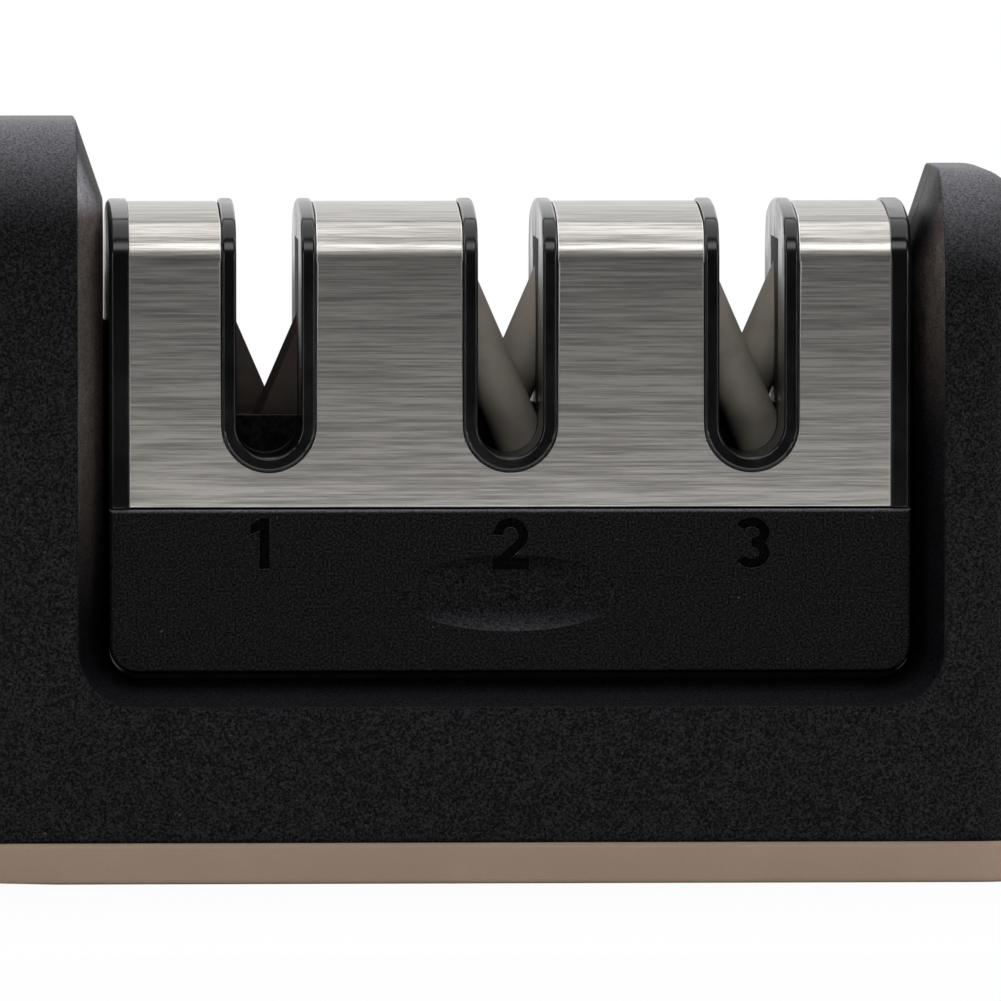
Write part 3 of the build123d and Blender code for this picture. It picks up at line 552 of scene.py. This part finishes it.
def plated_steel(name, colour):
    """Cold-headed steel with bright zinc plating.

    It is pale grey metal with a soft gloss, slightly clouded in patches about 0.8 mm wide."""
    material, tree, shader, place = start_material(name, Metallic=1.0)
    clouds = node(tree, "ShaderNodeTexNoise",
                  {"Vector": place, "Scale": 1 / (0.8 * MM), "Detail": 4.0, "Roughness": 0.6})
    tint = node(tree, "ShaderNodeMix",
                {0: clouds.outputs["Fac"], 6: scaled(colour, 0.75), 7: scaled(colour, 1.15)},
                data_type="RGBA")
    gloss = node(tree, "ShaderNodeMapRange",
                 {0: clouds.outputs["Fac"], 1: 0.3, 2: 0.7, 3: 0.24, 4: 0.42})
    tree.links.new(tint.outputs[2], shader.inputs["Base Color"])
    tree.links.new(gloss.outputs["Result"], shader.inputs["Roughness"])
    return material


# What each slot of the record gets: the material's name, the function that makes it, the name of
# its colour, and the function's other settings
FINISHES = {
    "body_plastic": ("spark_eroded_abs_of_body", eroded_abs, "body",
                     dict(grain=0.22 * MM, roughness=0.42, relief=1.0, shine=0.12, grain_glint_lift=4.7,
                          low_haze_and_sheen=0.05, rolled=0.9 * MM, facet_light_painted=True)),
    "panel_plastic": ("spark_eroded_abs_of_panels", eroded_abs, "panel",
                      dict(grain=0.22 * MM, roughness=0.4, relief=1.0, shine=0.08, grain_glint_lift=5.6,
                           low_haze_and_sheen=1.4, shaded=True)),
    "inner_plastic": ("spark_eroded_abs_inside", eroded_abs, "inside",
                      dict(grain=0.5 * MM, roughness=0.5, relief=0.3, shine=0.2, grain_glint_lift=1.3,
                           low_haze_and_sheen=0.0)),
    "trim_plastic": ("polished_abs", polished_abs, "trim", {}),
    "cover_steel": ("brushed_stainless_steel", brushed_steel, "steel", {}),
    "blade_carbide": ("ground_tungsten_carbide", ground_carbide, "carbide", {}),
    "rod_ceramic": ("fired_alumina", fired_ceramic, "ceramic", {}),
    "base_rubber": ("moulded_thermoplastic_rubber", moulded_rubber, "rubber", {}),
    "screw_steel": ("zinc_plated_steel", plated_steel, "zinc", {}),
}


def finish(slot):
    """The material of a slot of the record, made when it is first asked for."""
    name, make, colour, settings = FINISHES[slot]
    found = bpy.data.materials.get(name)
    if found:
        return found
    return make(name, getattr(bpy.context.scene.sharpener_colours, colour), **settings)


def select_only(*objects):
    """Deselects everything, and then selects these objects, the first as the active one."""
    bpy.ops.object.select_all(action="DESELECT")
    for each in objects:
        each.select_set(True)
    bpy.context.view_layer.objects.active = objects[0]


def apply_modifiers(piece):
    """Applies all the modifiers of a piece, in their order."""
    select_only(piece)
    for modifier in list(piece.modifiers):
        bpy.ops.object.modifier_apply(modifier=modifier.name)


def ease_edges(piece, width, segments, sharp):
    """Rounds the sharp edges of a piece, and keeps its flat faces flat to the light."""
    if width:
        bevel = piece.modifiers.new("eased edges", "BEVEL")
        bevel.limit_method = "ANGLE"
        bevel.angle_limit = sharp
        bevel.width = width
        bevel.segments = segments
        bevel.offset_type = "ABSOLUTE"
        bevel.use_clamp_overlap = False
        apply_modifiers(piece)
    select_only(piece)
    bpy.ops.object.shade_smooth_by_angle(angle=sharp)
    flat = piece.modifiers.new("flat faces", "WEIGHTED_NORMAL")
    flat.keep_sharp = True
    apply_modifiers(piece)


def copied_piece(name, source):
    """A piece with its own merged copy of a CAD node's mesh, for shaping further."""
    piece = bpy.data.objects.new(name, frame["nodes"][source].data.copy())
    bpy.context.scene.collection.objects.link(piece)
    piece.data.materials.clear()
    select_only(piece)
    if piece.data.has_custom_normals:
        bpy.ops.mesh.customdata_custom_splitnormals_clear()
    bpy.ops.object.mode_set(mode="EDIT")
    bpy.ops.mesh.select_all(action="SELECT")
    bpy.ops.mesh.remove_doubles(threshold=MERGE_DISTANCE)
    bpy.ops.mesh.dissolve_limited(angle_limit=FLAT_ANGLE)
    bpy.ops.object.mode_set(mode="OBJECT")
    return piece


def fit_piece(piece, source, slot):
    """Gives a piece its finish, and lets it stand for a CAD node and ride with its body."""
    piece.data.materials.clear()
    piece.data.materials.append(finish(slot))
    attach(piece, frame["nodes"][source]["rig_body"])
    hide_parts(source)
    return piece


def dress(source, name, slot, edge, segments=2, sharp=SHARP_ANGLE):
    """A CAD node's form with eased edges and its finish."""
    piece = copied_piece(name, source)
    ease_edges(piece, edge, segments, sharp)
    return fit_piece(piece, source, slot)


class SHARPENER_OT_shells(bpy.types.Operator):
    """Moulded front and rear half of the body, with the parting line between them"""
    bl_idname = "sharpener.shells"
    bl_label = "Shells"

    def execute(self, context):
        edge = context.scene.sharpener_sizes.shell_edge
        for source in SHELLS:
            dress(source, source + "_moulded", "body_plastic", edge, 3, FACET_ANGLE)
        return {"FINISHED"}


class SHARPENER_OT_base(bpy.types.Operator):
    """Base plate and the rubber pad round and under it"""
    bl_idname = "sharpener.base"
    bl_label = "Base"

    def execute(self, context):
        sizes = context.scene.sharpener_sizes
        dress("base_plate", "base_plate_moulded", "inner_plastic", sizes.small_edge)
        dress("base_pad", "base_pad_moulded", "base_rubber", 0)
        return {"FINISHED"}


class SHARPENER_OT_screws(bpy.types.Operator):
    """Plated screws in the wells of the rear shell, under the base and in the cartridge"""
    bl_idname = "sharpener.screws"
    bl_label = "Screws"

    def execute(self, context):
        edge = context.scene.sharpener_sizes.small_edge
        for source in SCREWS:
            dress(source, source + "_plated", "screw_steel", edge)
        return {"FINISHED"}


class SHARPENER_OT_core(bpy.types.Operator):
    """Cartridge's end caps and the two halves of its core, with the rims of the slots"""
    bl_idname = "sharpener.core"
    bl_label = "Core and end caps"

    def execute(self, context):
        edge = context.scene.sharpener_sizes.rim_edge
        for source in (*END_CAPS, *CORES):
            dress(source, source + "_polished", "trim_plastic", edge, 3)
        return {"FINISHED"}


class SHARPENER_OT_cover(bpy.types.Operator):
    """Brushed steel cover over the core"""
    bl_idname = "sharpener.cover"
    bl_label = "Steel cover"

    def execute(self, context):
        edge = context.scene.sharpener_sizes.steel_edge
        dress("steel_cover", "steel_cover_brushed", "cover_steel", edge, 3)
        return {"FINISHED"}


def smooth_dish(panel, low, high):
    """Divides the faces of the oval dish finely and lays them on its curve."""
    middle_x, middle_z = (low.x + high.x) / 2, high.z - DISH_DROP
    radius_x = DISH_WIDTH ** 2 / (8 * DISH_DEPTH)
    radius_z = DISH_HEIGHT ** 2 / (8 * DISH_DEPTH)
    centre_y = low.y + DISH_DEPTH - radius_x

    def in_dish(place):
        """Whether a place is over the dish, with a little to spare."""
        return (((place.x - middle_x) / (0.52 * DISH_WIDTH)) ** 2
                + ((place.z - middle_z) / (0.56 * DISH_HEIGHT)) ** 2) < 1

    def curve(place):
        """How far back the dish's surface lies at a place."""
        across = radius_x - radius_z + (radius_z ** 2 - (place.z - middle_z) ** 2) ** 0.5
        return centre_y + (across ** 2 - (place.x - middle_x) ** 2) ** 0.5

    def on_curve(face):
        """Whether a face is one of the dish's own."""
        centre = Vector(face.center)
        return (-0.99995 < face.normal.y < -0.85 and in_dish(centre)
                and abs(curve(centre) - centre.y) < DISH_NEAR)

    def select_dish():
        """Selects the dish's own faces, and leaves the panel in edit mode."""
        bpy.ops.object.mode_set(mode="EDIT")
        bpy.ops.mesh.select_mode(type="FACE")
        bpy.ops.mesh.select_all(action="DESELECT")
        bpy.ops.object.mode_set(mode="OBJECT")
        for face in panel.data.polygons:
            face.select = on_curve(face)
        bpy.ops.object.mode_set(mode="EDIT")

    select_only(panel)
    select_dish()
    bpy.ops.mesh.region_to_loop()
    bpy.ops.mesh.mark_sharp()
    bpy.ops.object.mode_set(mode="OBJECT")
    rim = {v for edge in panel.data.edges if edge.select for v in edge.vertices}
    select_dish()
    bpy.ops.mesh.quads_convert_to_tris()
    bpy.ops.mesh.subdivide(number_cuts=3)
    bpy.ops.object.mode_set(mode="OBJECT")
    inside = {v for face in panel.data.polygons if face.select for v in face.vertices}
    for index in inside - rim:
        place = panel.data.vertices[index].co
        if place.y > low.y + DISH_RIM:
            place.y = curve(place)


class SHARPENER_OT_panels(bpy.types.Operator):
    """Front panel with its numerals and oval dish, and the plain rear panel"""
    bl_idname = "sharpener.panels"
    bl_label = "Panels"

    def execute(self, context):
        edge = context.scene.sharpener_sizes.panel_edge
        for source in PANELS:
            panel = copied_piece(source + "_moulded", source)
            if source == "front_panel":
                smooth_dish(panel, *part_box(source))
            ease_edges(panel, edge, 2, SHARP_ANGLE)
            fit_piece(panel, source, "panel_plastic")
        return {"FINISHED"}


class SHARPENER_OT_holders(bpy.types.Operator):
    """Inserts that hold the blades and rods at their honing angle"""
    bl_idname = "sharpener.holders"
    bl_label = "Holders"

    def execute(self, context):
        edge = context.scene.sharpener_sizes.small_edge
        for source in HOLDERS:
            dress(source, source + "_moulded", "inner_plastic", edge)
        return {"FINISHED"}


class SHARPENER_OT_blades(bpy.types.Operator):
    """Two crossed carbide blades of the first stage"""
    bl_idname = "sharpener.blades"
    bl_label = "Carbide blades"

    def execute(self, context):
        edge = context.scene.sharpener_sizes.small_edge
        for source in BLADES:
            dress(source, source + "_ground", "blade_carbide", edge)
        return {"FINISHED"}


def rod_tilt(source, middle):
    """Angle from the upright at which a CAD rod leans to the right, from its highest point."""
    top = max(frame["nodes"][source].data.vertices, key=lambda v: v.co.z)
    return HONING_ANGLE if top.co.x > middle.x else -HONING_ANGLE


def turned_rod(source, radius, end):
    """A rod with rounded ends and rings of faces along it, where the CAD rod is."""
    low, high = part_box(source)
    middle = (low + high) / 2
    length = (high.z - low.z - 2 * radius * sin(HONING_ANGLE)) / cos(HONING_ANGLE)
    bpy.ops.mesh.primitive_cylinder_add(vertices=ROD_SIDES, radius=radius, depth=length,
                                        end_fill_type="NGON")
    rod = bpy.context.object
    rod.name = source + "_fired"
    bpy.ops.object.mode_set(mode="EDIT")
    bpy.ops.mesh.select_all(action="DESELECT")
    bpy.ops.object.mode_set(mode="OBJECT")
    for face in rod.data.polygons:
        face.select = abs(face.normal.z) > 0.9
    bpy.ops.object.mode_set(mode="EDIT")
    bpy.ops.mesh.select_mode(type="FACE")
    bpy.ops.mesh.bevel(offset=end, segments=5, affect="EDGES")
    bpy.ops.object.mode_set(mode="OBJECT")
    rod.rotation_euler = (0, rod_tilt(source, middle), 0)
    rod.location = middle
    select_only(rod)
    bpy.ops.object.transform_apply(location=True, rotation=True, scale=True)
    bpy.ops.object.shade_smooth_by_angle(angle=SHARP_ANGLE)
    return rod


class SHARPENER_OT_rods(bpy.types.Operator):
    """Crossed ceramic rods of the second and third stage"""
    bl_idname = "sharpener.rods"
    bl_label = "Ceramic rods"

    def execute(self, context):
        sizes = context.scene.sharpener_sizes
        for source in RODS:
            rod = turned_rod(source, sizes.rod_radius, sizes.rod_end)
            fit_piece(rod, source, "rod_ceramic")
        return {"FINISHED"}


# Camera at the photograph's place, in metres, with the lens for the 36 mm sensor
CAMERA_PLACE = Vector((-0.01820, -1.64565, 0.11605))
CAMERA_AIM = Vector((0.04724, -0.021, 0.03836))
CAMERA_LENS = 585.65
CAMERA_SENSOR = 36.0

# Softboxes and the reflector card that lies in front of the object: name, place, aim, width
# and height in metres, and power in watts
SOFTBOXES = (
    ("overhead_softbox", (0.02, 0.12, 0.75), (0.02, 0.05, 0.00), (1.80, 1.00), 7.6),
    ("front_softbox", (0.00, -0.75, 0.70), (0.02, 0.00, 0.04), (0.90, 0.30), 2.4),
    ("left_softbox", (-0.55, 0.10, 0.25), (0.00, 0.00, 0.05), (0.30, 0.30), 1.0),
    ("right_softbox", (0.60, 0.10, 0.25), (0.00, 0.00, 0.05), (0.30, 0.30), 1.0),
    ("left_strip", (-0.60, -0.60, 0.20), (0.04, 0.00, 0.05), (0.20, 0.35), 0.8),
    ("right_strip", (0.68, -0.60, 0.20), (0.04, 0.00, 0.05), (0.20, 0.35), 0.8),
    ("reflector_card", (0.04, -0.12, 0.003), (0.04, -0.08, 0.05), (0.30, 0.05), 0.08),
)


# Table top: width and depth in metres, and how far behind the object its middle lies. The
# camera sees it almost white near the object and all white farther off.
TABLE_SIZE = (2.4, 2.0)
TABLE_BEHIND = 0.8
SHADOW_NEAR = 0.12
SHADOW_FAR = 0.45
SHADOW_WHITE = 0.94

# Studio light by how straight behind the object a direction points, where 1 is straight: it
# grows from the room's dim light at the first to white at the second
WALL_FROM = 0.7
WALL_FULL = 0.93
ROOM_LIGHT = 0.01


def aimed(place, aim):
    """Rotation that turns a lamp or camera at a place towards its aim."""
    return (Vector(aim) - Vector(place)).to_track_quat("-Z", "Y").to_euler()


def add_camera():
    """Camera where the photograph was taken from, with no depth of field."""
    bpy.ops.object.camera_add(location=CAMERA_PLACE, rotation=aimed(CAMERA_PLACE, CAMERA_AIM))
    camera = bpy.context.object
    camera.data.lens = CAMERA_LENS
    camera.data.sensor_width = CAMERA_SENSOR
    camera.data.clip_start = 0.05
    camera.data.clip_end = 20
    camera.data.dof.use_dof = False
    bpy.context.scene.camera = camera


def add_softbox(name, place, aim, size, power):
    """A rectangular softbox of that width and height and power in watts."""
    bpy.ops.object.light_add(type="AREA", location=place, rotation=aimed(place, aim))
    lamp = bpy.context.object
    lamp.name = name
    lamp.data.shape = "RECTANGLE"
    lamp.data.size, lamp.data.size_y = size
    lamp.data.energy = power


def table_paint():
    """White laminate of the table, matt and faintly mottled.

    The camera sees it as white as the studio behind it, and it keeps a soft shadow close to
    the object."""
    material, tree, shader, place = start_material("table_laminate", Roughness=0.7)
    mottle = node(tree, "ShaderNodeTexNoise", {"Vector": place, "Scale": 6.0, "Detail": 3.0})
    tint = node(tree, "ShaderNodeMix",
                {0: mottle.outputs["Fac"], 6: scaled(linear("#ededec"), 1.0),
                 7: scaled(linear("#f5f5f4"), 1.0)}, data_type="RGBA")
    tree.links.new(tint.outputs[2], shader.inputs["Base Color"])
    reach = node(tree, "ShaderNodeVectorMath", {0: place}, operation="LENGTH")
    share = node(tree, "ShaderNodeMapRange",
                 {0: reach.outputs["Value"], 1: SHADOW_NEAR, 2: SHADOW_FAR,
                  3: SHADOW_WHITE, 4: 1.0})
    path = node(tree, "ShaderNodeLightPath")
    seen = node(tree, "ShaderNodeMath",
                {0: path.outputs["Is Camera Ray"], 1: share.outputs["Result"]},
                operation="MULTIPLY")
    white = node(tree, "ShaderNodeEmission", {"Color": (1, 1, 1, 1), "Strength": 1.0})
    mixed = node(tree, "ShaderNodeMixShader",
                 {0: seen.outputs["Value"], 1: shader.outputs["BSDF"],
                  2: white.outputs["Emission"]})
    output = next(n for n in tree.nodes if n.type == "OUTPUT_MATERIAL")
    tree.links.new(mixed.outputs["Shader"], output.inputs["Surface"])
    return material


def add_table():
    """Table top under the object, which reaches far behind it."""
    bpy.ops.mesh.primitive_grid_add(x_subdivisions=8, y_subdivisions=8, size=1)
    table = bpy.context.object
    table.name = "table_top"
    table.scale = (*TABLE_SIZE, 1)
    table.location = (0, TABLE_BEHIND, 0)
    bpy.ops.object.transform_apply(location=True, rotation=True, scale=True)
    table.data.materials.append(table_paint())


def light_studio():
    """White studio: white to the eye all round, bright behind, dim in front and beside."""
    world = bpy.data.worlds.new("white_studio")
    bpy.context.scene.world = world
    world.use_nodes = True
    tree = world.node_tree
    tree.nodes.clear()
    direction = node(tree, "ShaderNodeTexCoord").outputs["Generated"]
    parts = node(tree, "ShaderNodeSeparateXYZ", {0: direction})
    behind = node(tree, "ShaderNodeMapRange",
                  {0: parts.outputs["Y"], 1: WALL_FROM, 2: WALL_FULL,
                   3: ROOM_LIGHT, 4: 1.0},
                  interpolation_type="SMOOTHSTEP")
    path = node(tree, "ShaderNodeLightPath")
    seen = node(tree, "ShaderNodeMath",
                {0: path.outputs["Is Camera Ray"], 1: path.outputs["Is Transmission Ray"]},
                operation="MAXIMUM")
    strength = node(tree, "ShaderNodeMix",
                    {0: seen.outputs["Value"], 2: behind.outputs["Result"], 3: 1.0})
    light = node(tree, "ShaderNodeBackground",
                 {"Color": (1, 1, 1, 1), "Strength": strength.outputs[0]})
    node(tree, "ShaderNodeOutputWorld", {"Surface": light.outputs["Background"]})


class SHARPENER_OT_stage(bpy.types.Operator):
    """Table, studio light and the camera at the photograph's angle"""
    bl_idname = "sharpener.stage"
    bl_label = "Stage"

    def execute(self, context):
        add_camera()
        add_table()
        light_studio()
        for name, place, aim, size, power in SOFTBOXES:
            add_softbox(name, place, aim, size, power)
        context.scene.view_settings.view_transform = "Standard"
        return {"FINISHED"}


PIECES = (SHARPENER_OT_shells, SHARPENER_OT_base, SHARPENER_OT_screws, SHARPENER_OT_core,
          SHARPENER_OT_cover, SHARPENER_OT_panels, SHARPENER_OT_holders, SHARPENER_OT_blades,
          SHARPENER_OT_rods, SHARPENER_OT_stage)


class SHARPENER_PT_panel(bpy.types.Panel):
    """Lists the sharpener's pieces, sizes and colours"""
    bl_idname = "SHARPENER_PT_panel"
    bl_label = "Knife sharpener"
    bl_space_type = "VIEW_3D"
    bl_region_type = "UI"
    bl_category = "Sharpener"

    def draw(self, context):
        for group in (context.scene.sharpener_sizes, context.scene.sharpener_colours):
            box = self.layout.box()
            for name in group.__annotations__:
                box.prop(group, name)
        for piece in PIECES:
            self.layout.operator(piece.bl_idname)


def register():
    for each in (SharpenerSizes, SharpenerColours, *PIECES, SHARPENER_PT_panel):
        bpy.utils.register_class(each)
    scene = bpy.types.Scene
    scene.sharpener_sizes = bpy.props.PointerProperty(type=SharpenerSizes)
    scene.sharpener_colours = bpy.props.PointerProperty(type=SharpenerColours)


def unregister():
    del bpy.types.Scene.sharpener_colours
    del bpy.types.Scene.sharpener_sizes
    for each in (SHARPENER_PT_panel, *reversed(PIECES), SharpenerColours, SharpenerSizes):
        bpy.utils.unregister_class(each)


def main():
    """Makes every piece and the stage."""
    register()
    for piece in PIECES:
        group, name = piece.bl_idname.split(".")
        getattr(getattr(bpy.ops, group), name)()


if __name__ == "__main__":
    main()
